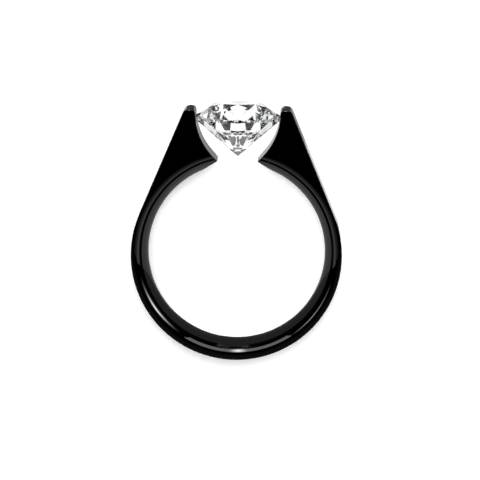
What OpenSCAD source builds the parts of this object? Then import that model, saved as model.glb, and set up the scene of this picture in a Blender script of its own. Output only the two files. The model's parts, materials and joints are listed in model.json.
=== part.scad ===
/* [Finger hole] */
// Diameter of the finger hole, at the middle of the band's width
hole_d = 16.9; // [15:0.1:20]
// Width of the band along the finger
band_w = 4.8; // [4.2:0.1:5.4]
// Length of the straight stretch in the middle of the hole's wall
hole_straight = 0.3; // [0.2:0.1:1.2]
// How far the domed wall of the hole falls back at each face
hole_flare = 1.1; // [0.9:0.05:1.3]

/* [Shank] */
// Thickness of the wall at each side of the finger
wall = 1.61; // [1.5:0.01:2.2]
// How much thicker the wall is at the bottom than at the sides
heel = 0.18; // [0.05:0.01:0.4]

/* [Shoulders] */
// Lean of each shoulder's straight outer side from upright, in degrees
shoulder_lean = 22.7; // [21:0.1:25]
// Height of the tips above the stone's girdle
tip_rise = 0.97; // [0.8:0.01:1.2]

/* [Gap between the shoulders] */
// Radius of the hollow curve of each shoulder's inner face
gap_r = 6; // [5.6:0.1:6.6]
// Height of that curve's centre above the stone's girdle
gap_rise = 0.68; // [0.4:0.02:1]
// Slope from upright where the curve ends and runs on straight, in degrees
gap_lean = 41.5; // [38:0.5:44]
// Where the hole's wall leaves its circle beside the gap, from the top, in degrees
relief_turn = 24; // [20:1:28]
// Slope from level of the straight wall from there to the gap, in degrees
relief_slope = 35; // [31:1:40]

/* [Stone] */
// Diameter of the stone's girdle
stone_d = 8.2; // [7.8:0.1:8.6]
// Height of the girdle above the finger hole's wall
stone_rise = 4.35; // [4:0.01:4.5]
// Width of the table as a share of the diameter
table_share = 0.56; // [0.52:0.01:0.62]
// Slope of the kite facets round the table, in degrees
crown_slope = 35; // [32:0.5:36]
// Slope of the main facets under the girdle, in degrees
pavilion_slope = 40.9; // [40:0.2:41.4]
// Thickness of the girdle where it is thickest
girdle = 0.36; // [0.2:0.01:0.4]
// How far the star facets reach from the table to the girdle, as a share
star_share = 0.45; // [0.4:0.05:0.6]
// How far the lower half facets reach from the girdle to the point, as a share
half_share = 0.82; // [0.7:0.01:0.9]
// Turn of the facets round the stone's axis, in degrees
stone_turn = 0; // [0:2.5:22.5]

/* [Seat] */
// How deep each shoulder's inner face bites past the stone's edge
bite = 0.07; // [0.03:0.005:0.1]
// Clearance between the stone and its groove
seat_gap = 0.04; // [0.03:0.01:0.05]

/* [Hidden] */
$fn = 96;

// The ring lies on its side. The origin is the centre of the finger hole and the stone is towards
// +Y. The stone is wider than the band, so the ring rests on the stone's girdle and on the bottom
// of the shank, and its finger axis leans a little from +Z. Every piece is drawn with that axis
// upright and then turned by that lean.
past = 1;                                   // run-out of a cut beyond a face
hole_r = hole_d / 2;
outer_r = hole_r + wall;
girdle_y = hole_r + stone_rise;             // height of the girdle's middle
stone_r = stone_d / 2;
tip_y = girdle_y + tip_rise;

// The hole's wall is straight in the middle, then one arc bends it back to each face.
flare_run = (band_w - hole_straight) / 2;
flare_turn = 2 * atan(hole_flare / flare_run);
flare_r = flare_run / sin(flare_turn);

rest_lean = atan((stone_r - band_w / 2) / (girdle_y - girdle / 2 + outer_r + heel));

// Each straight outer side leaves the round shank where it touches it.
side_start = [outer_r * cos(shoulder_lean), outer_r * sin(shoulder_lean) - heel];
tip_x = (outer_r - (tip_y + heel) * sin(shoulder_lean)) / cos(shoulder_lean);

// Each inner face stands upright at the tip, curves in below the girdle and runs on straight.
gap_x = stone_r - bite;
gap_y = girdle_y + gap_rise;
bend = [gap_x - gap_r * (1 - cos(gap_lean)), gap_y - gap_r * sin(gap_lean)];
gap_foot_y = 0.9 * hole_r;                  // inside the finger hole
gap_foot_x = bend.x - (bend.y - gap_foot_y) * tan(gap_lean);

// Beside the gap the hole's wall runs straight up to the inner faces, which blunts their foot.
relief_foot = [hole_r * sin(relief_turn), hole_r * cos(relief_turn)];
relief_top_y = relief_foot.y + relief_foot.x * tan(relief_slope);

// The stone's facets: eight of each kind round the axis, with the half facets in pairs.
sides = 8;
step = 360 / sides;
half_facet = step / 4;                      // half the width of a half facet, in degrees
arc_steps = 4;                              // straight pieces along the edge of one half facet
rim_n = 2 * sides * arc_steps;
table_r = table_share * stone_r;
table_z = girdle / 2 + (stone_r - table_r) * tan(crown_slope);
table_side_r = table_r * cos(step / 2);
star_r = table_side_r + star_share * (stone_r - table_side_r);
star_z = girdle / 2 + (stone_r - star_r * cos(step / 2)) * tan(crown_slope);
half_r = (1 - half_share) * stone_r;
half_z = -girdle / 2 - (stone_r - half_r * cos(step / 2)) * tan(pavilion_slope);
point_z = -girdle / 2 - stone_r * tan(pavilion_slope);

// A point at a distance from the stone's axis, an angle round it and a height on it
function around(r, angle, z) = [r * cos(angle), r * sin(angle), z];

// Height on the girdle's edge at an angle, where a half facet that also holds an inner point
// at inner_r, inner_z cuts the round edge in a shallow scallop
function rim_z(angle, corner_z, inner_r, inner_z) =
    let (off = angle % (2 * half_facet) - half_facet)
    corner_z + (corner_z - inner_z) * stone_r * (cos(off) - cos(half_facet))
        / ((stone_r - inner_r) * cos(half_facet));

// First index of each ring of the stone's points: table, stars, both edges of the girdle, halves
star_0 = sides;
top_0 = 2 * sides;
low_0 = top_0 + rim_n;
half_0 = low_0 + rim_n;
point_0 = half_0 + sides;
function ring(first, i, n) = first + (i + n) % n;
function rim_run(first, from) = [for (k = [0 : arc_steps]) ring(first, from + k, rim_n)];
function back(list) = [for (i = [len(list) - 1 : -1 : 0]) list[i]];

stone_points = concat(
    [for (i = [0 : sides - 1]) around(table_r, i * step, table_z)],
    [for (i = [0 : sides - 1]) around(star_r, (i + 0.5) * step, star_z)],
    [for (k = [0 : rim_n - 1]) let (a = 360 * k / rim_n)
        around(stone_r, a, rim_z(a, girdle / 2, star_r, star_z))],
    [for (k = [0 : rim_n - 1]) let (a = 360 * k / rim_n)
        around(stone_r, a, rim_z(a, -girdle / 2, half_r, half_z))],
    [for (i = [0 : sides - 1]) around(half_r, (i + 0.5) * step, half_z)],
    [[0, 0, point_z]]);

per_side = 2 * arc_steps;
stone_facets = concat(
    [back([for (i = [0 : sides - 1]) i])],
    [for (i = [0 : sides - 1]) [i, ring(0, i + 1, sides), star_0 + i]],
    [for (i = [0 : sides - 1])
        [i, star_0 + i, top_0 + i * per_side, ring(star_0, i - 1, sides)]],
    [for (i = [0 : sides - 1], h = [0, 1])
        concat([star_0 + i], back(rim_run(top_0, i * per_side + h * arc_steps)))],
    [for (k = [0 : rim_n - 1])
        [top_0 + k, ring(top_0, k + 1, rim_n), ring(low_0, k + 1, rim_n), low_0 + k]],
    [for (i = [0 : sides - 1], h = [0, 1])
        concat([half_0 + i], rim_run(low_0, i * per_side + h * arc_steps))],
    [for (i = [0 : sides - 1])
        [point_0, ring(half_0, i - 1, sides), low_0 + i * per_side, half_0 + i]]);

// Side view of the whole metal before the hole and the gap are cut: a disc and two straight sides
module band_outline() {
    translate([0, -heel]) circle(r = outer_r);
    polygon([side_start, [tip_x, tip_y], [-tip_x, tip_y], [-side_start.x, side_start.y]]);
}

// What the finger hole takes away, as a section to be turned round the finger's axis
module hole_section() {
    difference() {
        translate([0, -band_w / 2 - past]) square([hole_r + hole_flare, band_w + 2 * past]);
        intersection() {
            translate([hole_r, -band_w / 2]) square([2 * hole_flare, band_w]);
            union() {
                translate([hole_r, -hole_straight / 2]) square([2 * hole_flare, hole_straight]);
                for (side = [-1, 1])
                    translate([hole_r + flare_r, side * hole_straight / 2]) circle(r = flare_r);
            }
        }
    }
}

// Side view of the gap between the shoulders
module gap_outline() {
    intersection() {
        translate([gap_x - gap_r, gap_y]) circle(r = gap_r);
        translate([gap_r - gap_x, gap_y]) circle(r = gap_r);
        translate([-gap_x - past, bend.y]) square([2 * (gap_x + past), gap_y - bend.y]);
    }
    translate([-gap_x, gap_y]) square([2 * gap_x, tip_y - gap_y + past]);
    polygon([bend, [-bend.x, bend.y], [-gap_foot_x, gap_foot_y], [gap_foot_x, gap_foot_y]]);
    polygon([relief_foot, [0, relief_top_y], [-relief_foot.x, relief_foot.y]]);
}

// The groove that the girdle sits in: the stone's own edge with the clearance all round
module seat_section() {
    groove_r = stone_r + seat_gap;
    groove_half = girdle / 2 + seat_gap;
    depth = 1;                              // well past the inner faces
    polygon([
        [groove_r, groove_half],
        [groove_r - depth, groove_half + depth * tan(crown_slope)],
        [groove_r - depth, -groove_half - depth * tan(pavilion_slope)],
        [groove_r, -groove_half]]);
}

// Lays a piece down from upright as the ring rests
module at_rest() {
    rotate([rest_lean, 0, 0]) children();
}

module band() {
    color("#1a1a1c")
    at_rest() difference() {
        translate([0, 0, -band_w / 2]) linear_extrude(band_w) band_outline();
        rotate_extrude() hole_section();
        translate([0, 0, -band_w / 2 - past]) linear_extrude(band_w + 2 * past) gap_outline();
        translate([0, girdle_y, 0]) rotate([-90, 0, 0]) rotate_extrude() seat_section();
    }
}

module stone() {
    color("#eef2f6")
    at_rest() translate([0, girdle_y, 0]) rotate([-90, 0, 0]) rotate([0, 0, stone_turn])
        polyhedron(stone_points, stone_facets);
}

band();
stone();
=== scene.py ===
import json
from math import asin, atan, cos, hypot, pi, radians, sin, tan

import bpy
from mathutils import Matrix, Vector


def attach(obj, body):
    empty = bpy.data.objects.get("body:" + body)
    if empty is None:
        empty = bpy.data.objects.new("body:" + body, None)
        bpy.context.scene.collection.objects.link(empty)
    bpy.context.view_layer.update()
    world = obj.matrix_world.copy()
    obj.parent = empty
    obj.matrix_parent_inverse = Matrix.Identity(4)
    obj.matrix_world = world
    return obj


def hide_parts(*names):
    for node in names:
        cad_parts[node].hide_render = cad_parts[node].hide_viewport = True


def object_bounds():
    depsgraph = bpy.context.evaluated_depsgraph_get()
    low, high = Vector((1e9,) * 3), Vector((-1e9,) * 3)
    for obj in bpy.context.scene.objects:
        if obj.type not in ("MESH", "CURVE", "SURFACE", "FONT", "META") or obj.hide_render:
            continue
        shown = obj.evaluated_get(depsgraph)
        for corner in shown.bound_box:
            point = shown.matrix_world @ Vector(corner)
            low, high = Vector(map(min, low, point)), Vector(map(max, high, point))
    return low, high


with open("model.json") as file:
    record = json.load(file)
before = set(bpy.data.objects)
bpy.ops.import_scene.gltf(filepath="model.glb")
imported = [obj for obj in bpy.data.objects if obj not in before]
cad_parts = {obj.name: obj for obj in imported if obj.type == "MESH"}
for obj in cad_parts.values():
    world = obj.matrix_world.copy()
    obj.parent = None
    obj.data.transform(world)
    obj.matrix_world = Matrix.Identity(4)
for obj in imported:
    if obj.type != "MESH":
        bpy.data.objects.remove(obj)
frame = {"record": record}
cad_low, cad_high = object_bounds()
MM = 0.001

# The ring lies on its side. Its stone is wider than its band, so it rests on the stone's girdle and
# on the bottom of the shank, and the finger's axis leans a little from upright, as the hole's mount
# says. Directions and pieces are given for an upright axis, stone towards +Y, and then leaned.
mounts = frame["record"]["mounts"]
finger_axis = next(m["axis"] for m in mounts if m["name"] == "finger_hole")
rest_lean = asin(-finger_axis[1])
lean = Matrix.Rotation(rest_lean, 3, "X")


def towards(azimuth, elevation):
    """Direction at an azimuth from +X towards the stone and an elevation above the side face."""
    level = cos(radians(elevation))
    return lean @ Vector((
        level * cos(radians(azimuth)), level * sin(radians(azimuth)), sin(radians(elevation))))


# The camera looks down on the side face from 300 mm, a little from the stone's side, so that the
# tops of the tips and the bottom of the finger hole's wall show.
view_distance = 300 * MM
picture_width = 46.03 * MM                  # what the picture spans at the hole's centre
view_azimuth = 84                           # the camera is a little to the right of the stone
view_elevation = 82.2
roll = 0.65                                 # degrees that the ring leans to the right in the picture
aim_right = 0.32 * MM
aim_up = 1.01 * MM

camera_back = towards(view_azimuth, view_elevation)
picture_up = lean @ Vector((0, 1, 0))
picture_up = (picture_up - camera_back * picture_up.dot(camera_back)).normalized()
picture_up = Matrix.Rotation(radians(roll), 3, camera_back) @ picture_up
picture_right = picture_up.cross(camera_back)
camera_data = bpy.data.cameras.new("camera")
camera = bpy.data.objects.new("camera", camera_data)
bpy.context.scene.collection.objects.link(camera)
bpy.context.scene.camera = camera
camera_data.lens = camera_data.sensor_width * view_distance / picture_width
camera_data.clip_start = 10 * MM
aim = picture_right * aim_right + picture_up * aim_up
turn = Matrix((picture_right, picture_up, camera_back)).transposed().to_4x4()
camera.matrix_world = Matrix.Translation(aim + camera_back * view_distance) @ turn
bpy.context.scene.view_settings.view_transform = "Standard"
bpy.context.scene.cycles.max_bounces = 24   # light turns round many times inside the stone
bpy.context.scene.cycles.glossy_bounces = 20
bpy.context.scene.cycles.transmission_bounces = 20


def linear(hex_colour):
    """A colour with alpha for Blender from an sRGB hex value such as #38383a."""
    parts = [int(hex_colour[i:i + 2], 16) / 255 for i in (1, 3, 5)]
    return (*[v / 12.92 if v <= 0.04045 else ((v + 0.055) / 1.055) ** 2.4 for v in parts], 1)


def add_node(tree, kind, settings=(), inputs=(), links=()):
    """Adds a node, with pairs of property and value, socket and value, and socket and output."""
    node = tree.nodes.new("ShaderNode" + kind)
    for name, value in dict(settings).items():
        setattr(node, name, value)
    for name, value in dict(inputs).items():
        node.inputs[name].default_value = value
    for name, output in dict(links).items():
        tree.links.new(output, node.inputs[name])
    return node


# Studio: the room that the metal mirrors. Its half on the shank's side is pale, brightest on the wall
# at the ring's own height, and its half behind the stone is dark, so that the flat side faces stay
# black. The camera itself sees it all white. Heights in the room are sines of elevations.
room_edge = 81.85                           # elevation of the pale half's edge over the shank
edge_blur = 0.004
wall_glow = 1.25                            # pale half, at the ring's height
ceiling_glow = 0.1                          # pale half, straight above
foot_glow = 0.32                            # pale half, low down
left_ground_glow = 0.75                     # a round patch straight below, left of the middle
right_ground_glow = 0.42                    # and right of it
back_glow = 0.004                           # dark half, level and above
back_foot_glow = 0.4                        # dark half, below the ring
back_ground_glow = 0.08                     # dark half, straight below
card_glow = 0.97                            # a small card that shows in the right shoulder's outer side
card_r = 1.15                               # degrees from its middle to its edge
card_rim = 1.35                             # and to where the edge has faded out
ring_height = 0.1                           # where the pale wall is brightest

room = bpy.data.worlds.new("studio")
bpy.context.scene.world = room
room.use_nodes = True
tree = room.node_tree
tree.nodes.clear()
look = add_node(tree, "TexCoord")
ways = {
    "up": towards(0, 90), "back": towards(90, 0), "right": towards(0, 0),
    "card": towards(-51, -82.8), "lens": camera_back, "stone_point": towards(270, -25)}
facing = {}                                 # cosine of the angle between a direction and each way
for way, direction in ways.items():
    dot = add_node(tree, "VectorMath", {"operation": "DOT_PRODUCT"}, {1: direction},
                   {0: look.outputs["Generated"]})
    facing[way] = dot.outputs["Value"]

# The halves meet in a leaning plane: above the ring their edge is on the shank's side, and below it
# on the stone's side, but there only a little way.
least_height = add_node(tree, "MapRange", inputs={
    "From Min": -0.97, "From Max": -0.9, "To Min": -0.25, "To Max": -0.5},
    links={"Value": facing["up"]})
height = add_node(tree, "Math", {"operation": "MAXIMUM"}, {},
                  {0: facing["up"], 1: least_height.outputs["Result"]})
past_edge = add_node(tree, "Math", {"operation": "MULTIPLY_ADD"}, {1: tan(radians(90 - room_edge))},
                     {0: height.outputs[0], 2: facing["back"]})
wall = add_node(tree, "MapRange", inputs={
    "From Min": ring_height, "From Max": 1.0, "To Min": wall_glow, "To Max": ceiling_glow},
    links={"Value": facing["up"]})
foot = add_node(tree, "MapRange", inputs={
    "From Min": -0.9, "From Max": ring_height, "To Min": foot_glow},
    links={"Value": facing["up"], "To Max": wall.outputs["Result"]})
ground = add_node(tree, "MapRange", inputs={
    "From Min": -0.03, "From Max": 0.03, "To Min": left_ground_glow, "To Max": right_ground_glow},
    links={"Value": facing["right"]})
card = add_node(tree, "MapRange", inputs={
    "From Min": cos(radians(card_rim)), "From Max": cos(radians(card_r)), "To Max": card_glow},
    links={"Value": facing["card"], "To Min": ground.outputs["Result"]})
pale = add_node(tree, "MapRange", inputs={"From Min": -0.985, "From Max": -0.96}, links={
    "Value": facing["up"], "To Min": card.outputs["Result"], "To Max": foot.outputs["Result"]})
dim = add_node(tree, "MapRange", inputs={
    "From Min": -1.0, "From Max": -0.35, "To Min": back_ground_glow, "To Max": back_foot_glow},
    links={"Value": facing["up"]})
dark = add_node(tree, "MapRange", inputs={"From Min": -0.3, "From Max": -0.2, "To Max": back_glow},
                links={"Value": facing["up"], "To Min": dim.outputs["Result"]})
mirrored = add_node(tree, "MapRange", inputs={"From Min": -edge_blur, "From Max": edge_blur}, links={
    "Value": past_edge.outputs[0], "To Min": pale.outputs["Result"], "To Max": dark.outputs["Result"]})

# Light that comes out of the stone meets white screens all round it, except for a black card round
# the lens, another before the stone's point, and a grey one low down on the side of its table.
screen_glow = 1.55
low_screen_glow = 1.9
grey_card_glow = 0.12
hood = 44                                   # degrees from the middle of a black card to its edge
hood_blur = 3
lens_card = add_node(tree, "MapRange", inputs={
    "From Min": cos(radians(hood)), "From Max": cos(radians(hood - hood_blur)),
    "To Min": screen_glow, "To Max": 0.0}, links={"Value": facing["lens"]})
point_card = add_node(tree, "MapRange", inputs={
    "From Min": cos(radians(hood + hood_blur)), "From Max": cos(radians(hood)),
    "To Min": 1.0, "To Max": 0.0}, links={"Value": facing["stone_point"]})
grey_card = add_node(tree, "MapRange", inputs={
    "From Min": 0.125, "From Max": 0.135, "To Min": low_screen_glow, "To Max": grey_card_glow},
    links={"Value": facing["back"]})
above_low_screens = add_node(tree, "MapRange", inputs={"From Min": -0.62, "From Max": -0.54},
                             links={"Value": facing["up"]})
screens = add_node(tree, "Mix", {"data_type": "FLOAT"}, {}, {
    "Factor": above_low_screens.outputs["Result"], "A": grey_card.outputs["Result"],
    "B": lens_card.outputs["Result"]})
refracted = add_node(tree, "Math", {"operation": "MULTIPLY"}, {},
                     {0: screens.outputs[0], 1: point_card.outputs["Result"]})

ray = add_node(tree, "LightPath")
met = add_node(tree, "Mix", {"data_type": "FLOAT"}, {}, {
    "Factor": ray.outputs["Is Transmission Ray"], "A": mirrored.outputs["Result"],
    "B": refracted.outputs[0]})
seen = add_node(tree, "Mix", {"data_type": "FLOAT"}, {"B": 1.0},
                {"Factor": ray.outputs["Is Camera Ray"], "A": met.outputs[0]})
light = add_node(tree, "Background", links={"Strength": seen.outputs[0]})
add_node(tree, "OutputWorld", links={"Surface": light.outputs["Background"]})


def softbox(name, azimuth, low, high, width, radiance, distance=350 * MM, falloff=0):
    """A lit panel that spans elevations low to high, and width degrees round an azimuth.

    A falloff makes it round and brightest in the middle.
    """
    foot = towards(azimuth, low) * distance
    head = towards(azimuth, high) * distance
    data = bpy.data.lights.new(name, "AREA")
    data.shape = "ELLIPSE" if falloff else "RECTANGLE"
    data.size = 2 * distance * tan(radians(width / 2))
    data.size_y = (head - foot).length
    area = data.size * data.size_y * (pi / 4 if falloff else 1)
    data.energy = radiance * pi * area
    panel = bpy.data.objects.new(name, data)
    bpy.context.scene.collection.objects.link(panel)
    outwards = (foot + head).normalized()
    upwards = (head - foot).normalized()
    turn = Matrix((upwards.cross(outwards), upwards, outwards)).transposed().to_4x4()
    panel.matrix_world = Matrix.Translation((foot + head) / 2) @ turn
    if falloff:
        data.use_nodes = True
        tree = data.node_tree
        spot = add_node(tree, "TexCoord")
        spread = add_node(tree, "VectorMath", {"operation": "MULTIPLY"},
                          {1: (2 / data.size, 2 / data.size_y, 0)}, {0: spot.outputs["Object"]})
        out = add_node(tree, "VectorMath", {"operation": "LENGTH"}, links={0: spread.outputs["Vector"]})
        fade = add_node(tree, "MapRange", inputs={"To Min": 1.0, "To Max": 0.0},
                        links={"Value": out.outputs["Value"]})
        power = add_node(tree, "Math", {"operation": "POWER"}, {1: falloff},
                         {0: fade.outputs["Result"]})
        tree.links.new(power.outputs[0], tree.nodes["Emission"].inputs["Strength"])
    return panel


# The first four show in the shank as its bright lines. The floor lamp gives the shadow, and the
# table card stands under the ring and shows in the stone's table.
mirrored_lamps = [
    softbox("top_softbox", azimuth=93, low=8.5, high=29, width=68, radiance=2.9),
    softbox("top_lamp", azimuth=93, low=0, high=34, width=14, radiance=32, distance=340 * MM, falloff=2),
    softbox("right_lamp", azimuth=28.5, low=0, high=24, width=50, radiance=32, falloff=3),
    softbox("left_lamp", azimuth=152, low=16.5, high=24, width=50, radiance=6, falloff=1)]
floor_lamp = softbox("floor_lamp", azimuth=90, low=64, high=88, width=25, radiance=17)
floor_lamp.visible_glossy = False           # it would run round every eased edge
table_card = softbox("table_card", azimuth=90, low=-89, high=-50, width=60, radiance=1.3)
for lamp in [*mirrored_lamps, floor_lamp, table_card]:
    lamp.visible_transmission = False       # through the stone the screens show and not the lamps

# Floor: a sheet of white acrylic, lit from below as for catalogue photographs, so that it shows
# near white, with only a soft shadow under the ring.
floor_size = 4                              # metres, so that its edge is out of view
floor_glow = 0.27
bpy.ops.object.select_all(action="DESELECT")
bpy.ops.mesh.primitive_plane_add(size=floor_size, location=(0, 0, cad_low.z))
floor = bpy.context.object
floor.name = "floor"
acrylic = bpy.data.materials.new("lit_acrylic")
acrylic.use_nodes = True
tree = acrylic.node_tree
tree.nodes.clear()
surface = add_node(tree, "BsdfPrincipled", inputs={
    "Base Color": linear("#f4f4f4"), "Roughness": 0.6, "Specular IOR Level": 0.2,
    "Emission Color": (1, 1, 1, 1), "Emission Strength": floor_glow})
add_node(tree, "OutputMaterial", links={"Surface": surface.outputs["BSDF"]})
floor.data.materials.append(acrylic)
floor.visible_glossy = False                # the metal mirrors the room and not the floor
floor.visible_transmission = False


# Band: shank and both shoulders are one piece of black-coated titanium, turned, milled and then
# polished like a mirror. Its shoulders end in two tips that hold the stone by spring force alone.
hole_r = 8.45 * MM
outer_r = 10.057 * MM
band_w = 4.8 * MM
hole_straight = 0.3 * MM                    # width of the straight stretch of the hole's wall
hole_flare = 1.1 * MM                       # how far the hole's wall falls back at each face
heel = 0.18 * MM                            # how much thicker the shank is at the bottom
shoulder_lean = 22.7                        # of the straight outer sides, in degrees from upright
girdle_y = 12.8 * MM
tip_y = 13.77 * MM
stone_r = 4.1 * MM
girdle = 0.36 * MM                          # thickness of the stone's edge
gap_x = 4.03 * MM                           # half the gap between the tips
gap_r = 6 * MM                              # radius of the hollow of each inner face
gap_y = girdle_y + 0.68 * MM                # height of that hollow's centre
gap_lean = 41.5                             # where the hollow ends, in degrees from upright
relief_turn = 24                            # where the hole's wall leaves its circle, from the top
relief_slope = 35                           # of the straight wall from there to the gap
seat_gap = 0.04 * MM                        # clearance round the stone in its groove
past = 1 * MM                               # run-out of a cut beyond a face
shank_steps = 200                           # straight pieces round the shank,
hole_steps = 232                            # round the finger hole,
stone_steps = 192                           # round the stone and its groove,
curve_steps = 30                            # and along each short curve
merge_distance = 1e-7


def arc(centre, degrees, steps=curve_steps):
    """A stroke round a centre, anticlockwise where the degrees are above 0."""
    return {"centre": Vector((*centre, 0)), "degrees": degrees, "steps": steps}


def draw(name, start, *strokes, height=0):
    """Draws a closed outline from one point by straight strokes to points and by arcs, and fills it."""
    bpy.ops.object.select_all(action="DESELECT")
    bpy.ops.mesh.primitive_plane_add(size=MM)
    piece = bpy.context.object
    piece.name = piece.data.name = name
    bpy.ops.object.mode_set(mode="EDIT")
    bpy.ops.mesh.merge(type="CENTER")
    pen = Vector((*start, height))
    bpy.ops.transform.translate(value=pen)
    for stroke in [*strokes, start]:
        if isinstance(stroke, dict):
            centre = stroke["centre"] + Vector((0, 0, height))
            turn = radians(stroke["degrees"])
            bpy.ops.mesh.spin(steps=stroke["steps"], angle=-turn, center=centre, axis=(0, 0, 1))
            pen = centre + Matrix.Rotation(turn, 3, "Z") @ (pen - centre)
        else:
            to = Vector((*stroke, height))
            bpy.ops.mesh.extrude_vertices_move(TRANSFORM_OT_translate={"value": to - pen})
            pen = to
    bpy.ops.mesh.select_all(action="SELECT")
    bpy.ops.mesh.remove_doubles(threshold=merge_distance)
    bpy.ops.mesh.edge_face_add()
    bpy.ops.object.mode_set(mode="OBJECT")
    return piece


def tidy_normals(piece):
    """Merges doubles and turns every face outwards."""
    bpy.ops.object.select_all(action="DESELECT")
    piece.select_set(True)
    bpy.context.view_layer.objects.active = piece
    bpy.ops.object.mode_set(mode="EDIT")
    bpy.ops.mesh.select_all(action="SELECT")
    bpy.ops.mesh.remove_doubles(threshold=merge_distance)
    bpy.ops.mesh.normals_make_consistent(inside=False)
    bpy.ops.object.mode_set(mode="OBJECT")


def thicken(piece, height):
    """Extrudes a filled outline upwards."""
    bpy.ops.object.mode_set(mode="EDIT")
    bpy.ops.mesh.select_all(action="SELECT")
    bpy.ops.mesh.extrude_region_move(TRANSFORM_OT_translate={"value": (0, 0, height)})
    bpy.ops.object.mode_set(mode="OBJECT")
    tidy_normals(piece)


def turn_on_lathe(piece, steps):
    """Drops an outline's face and spins its edge once round the Y axis."""
    bpy.ops.object.mode_set(mode="EDIT")
    bpy.ops.mesh.select_all(action="SELECT")
    bpy.ops.mesh.delete(type="ONLY_FACE")
    bpy.ops.mesh.select_all(action="SELECT")
    bpy.ops.mesh.spin(steps=steps, angle=2 * pi, center=(0, 0, 0), axis=(0, 1, 0),
                      use_auto_merge=True)
    bpy.ops.object.mode_set(mode="OBJECT")
    tidy_normals(piece)


def apply_modifier(piece, kind, **settings):
    """Adds a modifier and applies it."""
    bpy.ops.object.select_all(action="DESELECT")
    piece.select_set(True)
    bpy.context.view_layer.objects.active = piece
    modifier = piece.modifiers.new(kind.lower(), kind)
    for name, value in settings.items():
        setattr(modifier, name, value)
    bpy.ops.object.modifier_apply(modifier=modifier.name)


def cut(piece, tool):
    """Takes the tool's shape out of the piece."""
    apply_modifier(piece, "BOOLEAN", operation="DIFFERENCE", solver="EXACT", object=tool)
    bpy.data.objects.remove(tool)


def lay_down(piece, degrees=0, place=(0, 0, 0)):
    """Turns a piece about X and moves it in the upright ring, and leans it as the ring rests."""
    upright = Matrix.Translation(place) @ Matrix.Rotation(radians(degrees), 4, "X")
    piece.data.transform(lean.to_4x4() @ upright)


side_x = outer_r * cos(radians(shoulder_lean))
side_y = outer_r * sin(radians(shoulder_lean)) - heel
tip_x = (outer_r - (tip_y + heel) * sin(radians(shoulder_lean))) / cos(radians(shoulder_lean))
band = draw("polished_band", (side_x, side_y),
            arc((0, -heel), -(180 + 2 * shoulder_lean), shank_steps),
            (-tip_x, tip_y), (tip_x, tip_y), height=-band_w / 2)
thicken(band, band_w)

# The hole's wall is straight in the middle and domed to both faces, as in a comfort-fit ring.
flare_run = (band_w - hole_straight) / 2
flare_turn = 2 * atan(hole_flare / flare_run)
flare_r = flare_run / sin(flare_turn)
past_face = 6                               # degrees that the cut runs on past each face
flare_degrees = flare_turn * 180 / pi + past_face
arc_centre_x = hole_r + flare_r
end_x = arc_centre_x - flare_r * cos(radians(flare_degrees))
end_y = hole_straight / 2 + flare_r * sin(radians(flare_degrees))
hole = draw("hole", (0, -end_y), (end_x, -end_y),
            arc((arc_centre_x, -hole_straight / 2), -flare_degrees),
            (hole_r, hole_straight / 2),
            arc((arc_centre_x, hole_straight / 2), -flare_degrees),
            (0, end_y))
turn_on_lathe(hole, hole_steps)
hole.data.transform(Matrix.Rotation(radians(90), 4, "X"))
cut(band, hole)

# The gap between the shoulders: upright at the tips, hollow below, and straight to the hole.
bend_x = gap_x - gap_r * (1 - cos(radians(gap_lean)))
bend_y = gap_y - gap_r * sin(radians(gap_lean))
relief_x = hole_r * sin(radians(relief_turn))
relief_y = hole_r * cos(radians(relief_turn))
slope_in = tan(radians(gap_lean))
slope_out = tan(radians(relief_slope))
foot_x = (bend_x - (bend_y - relief_y - relief_x * slope_out) * slope_in) / (1 + slope_out * slope_in)
foot_y = bend_y - (bend_x - foot_x) / slope_in
relief_end_x = relief_x + past / 2          # inside the open hole
relief_end_y = relief_y - past / 2 * slope_out
gap = draw("gap", (gap_x, tip_y + past), (gap_x, gap_y), arc((gap_x - gap_r, gap_y), -gap_lean),
           (foot_x, foot_y), (relief_end_x, relief_end_y),
           (-relief_end_x, relief_end_y), (-foot_x, foot_y),
           (-bend_x, bend_y), arc((gap_r - gap_x, gap_y), -gap_lean), (-gap_x, tip_y + past),
           height=-band_w / 2 - past)
thicken(gap, band_w + 2 * past)
cut(band, gap)

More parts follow.
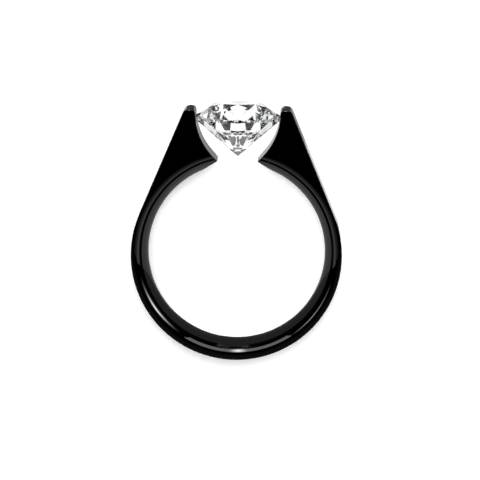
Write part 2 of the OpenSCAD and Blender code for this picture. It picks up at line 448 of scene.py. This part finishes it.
# Every edge is eased by polishing, most at the tips and round the finger hole.
ease = 0.38 * MM                            # round the tips' corners, as seen from the side
ease_steps = 6
rim_share = 0.53                            # share of that round the finger hole,
tip_share = 0.48                            # along the side faces' edges at the tips,
side_share = 0.26                           # along their other edges
foot_share = 0.1                            # and at the foot of each inner face
rim_run = 3 * MM                            # from each foot to where the hole's edge has its full share
tip_run = 1 * MM                            # how far below the girdle the tips' share begins
tip_corner = 30                             # degrees that the faces turn at the tips' corners, at least
foot_corner = 50                            # and at a foot
near_rim = 0.03 * MM                        # how far from the hole's edge a stretch of it may lie
near_tip = 0.01 * MM                        # and from the tips' height
face_normal = 0.999                         # least part of a side face's normal along the finger
weights = band.data.attributes.new("bevel_weight_edge", "FLOAT", "EDGE")
faces_at = {}
for face in band.data.polygons:
    for key in face.edge_keys:
        faces_at.setdefault(key, []).append(face)
for edge in band.data.edges:
    pair = faces_at.get(edge.key, [])
    if len(pair) != 2:
        continue
    first, second = pair
    ends = [band.data.vertices[i].co for i in edge.vertices]
    middle = (ends[0] + ends[1]) / 2
    turned = first.normal.angle(second.normal, 0)
    side_faces = sum(abs(face.normal.z) > face_normal for face in pair)
    up_tip = max(0, min(1, (middle.y - girdle_y + tip_run) / (tip_y - girdle_y + tip_run)))
    if side_faces == 1 and abs(hypot(middle.x, middle.y) - hole_r - hole_flare) < near_rim:
        from_foot = hypot(abs(middle.x) - foot_x, middle.y - foot_y)
        share = side_share + (rim_share - side_share) * min(1, from_foot / rim_run)
    elif side_faces == 1:
        share = side_share + (tip_share - side_share) * up_tip
    elif side_faces == 0 and turned > radians(tip_corner) and middle.y > tip_y - near_tip:
        share = 1
    elif side_faces == 0 and turned > radians(foot_corner):
        share = foot_share
    else:
        continue
    weights.data[edge.index].value = share
apply_modifier(band, "BEVEL", width=ease, segments=ease_steps, limit_method="WEIGHT",
               use_clamp_overlap=False)

# Each shoulder's inner face has a shallow groove, cut to the stone's own edge.
crown_slope = 35                            # of the stone's facets above its edge, in degrees
pavilion_slope = 40.9                       # and below it
soft_turn = 32                              # degrees up to which an edge is shaded smooth
groove_r = stone_r + seat_gap
groove_half = girdle / 2 + seat_gap
seat = draw("seat", (0, -groove_half - groove_r * tan(radians(pavilion_slope))),
            (groove_r, -groove_half), (groove_r, groove_half),
            (0, groove_half + groove_r * tan(radians(crown_slope))))
turn_on_lathe(seat, stone_steps)
seat.data.transform(Matrix.Translation((0, girdle_y, 0)))
cut(band, seat)
bpy.ops.object.shade_smooth_by_angle(angle=radians(soft_turn))
apply_modifier(band, "WEIGHTED_NORMAL", keep_sharp=True, weight=80)
lay_down(band)

# Black diamond-like carbon over mirror-polished titanium: a thin hard coat with deep black faces
# that mirrors the studio faintly. Polishing leaves hair-fine marks, drawn a little coarser here.
haze_size = 3 * MM                          # patches of slightly more and less gloss
mark_spacing = 0.06 * MM
mark_depth = 0.002 * MM
coat = bpy.data.materials.new("black_coated_titanium")
coat.use_nodes = True
tree = coat.node_tree
tree.nodes.clear()
place = add_node(tree, "TexCoord")
haze = add_node(tree, "TexNoise", inputs={"Scale": 1 / haze_size, "Detail": 3.0},
                links={"Vector": place.outputs["Object"]})
gloss = add_node(tree, "MapRange", inputs={
    "From Min": 0.3, "From Max": 0.7, "To Min": 0.025, "To Max": 0.045},
    links={"Value": haze.outputs["Fac"]})
marks = add_node(tree, "TexNoise", inputs={"Scale": 1 / mark_spacing, "Detail": 2.0},
                 links={"Vector": place.outputs["Object"]})
bump = add_node(tree, "Bump", inputs={"Strength": 0.02, "Distance": mark_depth},
                links={"Height": marks.outputs["Fac"]})
surface = add_node(tree, "BsdfPrincipled", inputs={
    "Base Color": linear("#38383a"), "Metallic": 1.0},
    links={"Roughness": gloss.outputs["Result"], "Normal": bump.outputs["Normal"]})
add_node(tree, "OutputMaterial", links={"Surface": surface.outputs["BSDF"]})
band.data.materials.append(coat)
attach(band, "root")
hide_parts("band")


# Stone: a round brilliant of about two carats, clear and colourless. It is cut as a cutter does,
# facet by facet from a turned blank, and sits with its edge in the two grooves.
table_share = 0.56                          # of the stone's width
star_share = 0.45                           # of the way from the table to the girdle
half_share = 0.82                           # of the way from the girdle to the point
sides = 8
step = 360 / sides
flat_turn = 4                               # degrees up to which the round girdle is shaded smooth
table_r = table_share * stone_r
table_z = girdle / 2 + (stone_r - table_r) * tan(radians(crown_slope))
star_r = table_r * cos(radians(step / 2))
star_r += star_share * (stone_r - star_r)
star_z = girdle / 2 + (stone_r - star_r * cos(radians(step / 2))) * tan(radians(crown_slope))
half_r = (1 - half_share) * stone_r
half_z = -girdle / 2 - (stone_r - half_r * cos(radians(step / 2))) * tan(radians(pavilion_slope))
point_z = -girdle / 2 - stone_r * tan(radians(pavilion_slope))

bpy.ops.object.select_all(action="DESELECT")
bpy.ops.mesh.primitive_cylinder_add(vertices=stone_steps, radius=stone_r, depth=table_z - point_z,
                                    location=(0, 0, (table_z + point_z) / 2))
stone = bpy.context.object
stone.name = stone.data.name = "cut_stone"
bpy.ops.object.transform_apply()


def around(r, angle, z):
    """A point at a distance from the stone's axis, an angle round it and a height on it."""
    return Vector((r * cos(radians(angle)), r * sin(radians(angle)), z))


def grind(*points):
    """Grinds a flat facet through three points, and takes away all that lies outside it."""
    normal = (points[1] - points[0]).cross(points[2] - points[0]).normalized()
    if normal.dot(points[0]) < 0:
        normal.negate()
    bpy.ops.mesh.select_all(action="SELECT")
    bpy.ops.mesh.bisect(plane_co=points[0], plane_no=normal, use_fill=True, clear_outer=True,
                        threshold=1e-8)


bpy.ops.object.mode_set(mode="EDIT")
for i in range(sides):
    corner = i * step
    between = (i + 0.5) * step
    rim = around(stone_r, corner, girdle / 2)
    low_rim = around(stone_r, corner, -girdle / 2)
    star = around(star_r, between, star_z)
    low_half = around(half_r, between, half_z)
    # Above the girdle: a kite facet, a star facet and two upper halves
    grind(rim, star, around(star_r, corner - step / 2, star_z))
    grind(around(table_r, corner, table_z), around(table_r, corner + step, table_z), star)
    grind(rim, around(stone_r, between, girdle / 2), star)
    grind(around(stone_r, between, girdle / 2), around(stone_r, corner + step, girdle / 2), star)
    # Below it: a main facet and two lower halves
    grind(low_rim, low_half, around(half_r, corner - step / 2, half_z))
    grind(low_rim, around(stone_r, between, -girdle / 2), low_half)
    grind(around(stone_r, between, -girdle / 2), around(stone_r, corner + step, -girdle / 2), low_half)
bpy.ops.object.mode_set(mode="OBJECT")
tidy_normals(stone)
bpy.ops.object.shade_smooth_by_angle(angle=radians(flat_turn))
lay_down(stone, -90, (0, girdle_y, 0))

# Diamond bends light more than nearly any other gem. Its facets and its edge are polished so well
# that only a trace of fine polishing lines is left, which takes nothing from their gloss.
line_spacing = 0.02 * MM
diamond = bpy.data.materials.new("polished_diamond")
diamond.use_nodes = True
tree = diamond.node_tree
tree.nodes.clear()
place = add_node(tree, "TexCoord")
lines = add_node(tree, "TexNoise", inputs={"Scale": 1 / line_spacing, "Detail": 1.0},
                 links={"Vector": place.outputs["Object"]})
polish = add_node(tree, "MapRange", inputs={"To Min": 0.0, "To Max": 0.004},
                  links={"Value": lines.outputs["Fac"]})
surface = add_node(tree, "BsdfPrincipled", inputs={
    "Base Color": linear("#fdfeff"), "IOR": 2.417, "Transmission Weight": 1.0},
    links={"Roughness": polish.outputs["Result"]})
add_node(tree, "OutputMaterial", links={"Surface": surface.outputs["BSDF"]})
stone.data.materials.append(diamond)
stone.visible_shadow = False                # the lamps' light goes through to the floor
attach(stone, "root")
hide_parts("stone")

# The table card lights the stone alone.
lit = bpy.data.collections.new("lit_by_table_card")
lit.objects.link(stone)
table_card.light_linking.receiver_collection = lit
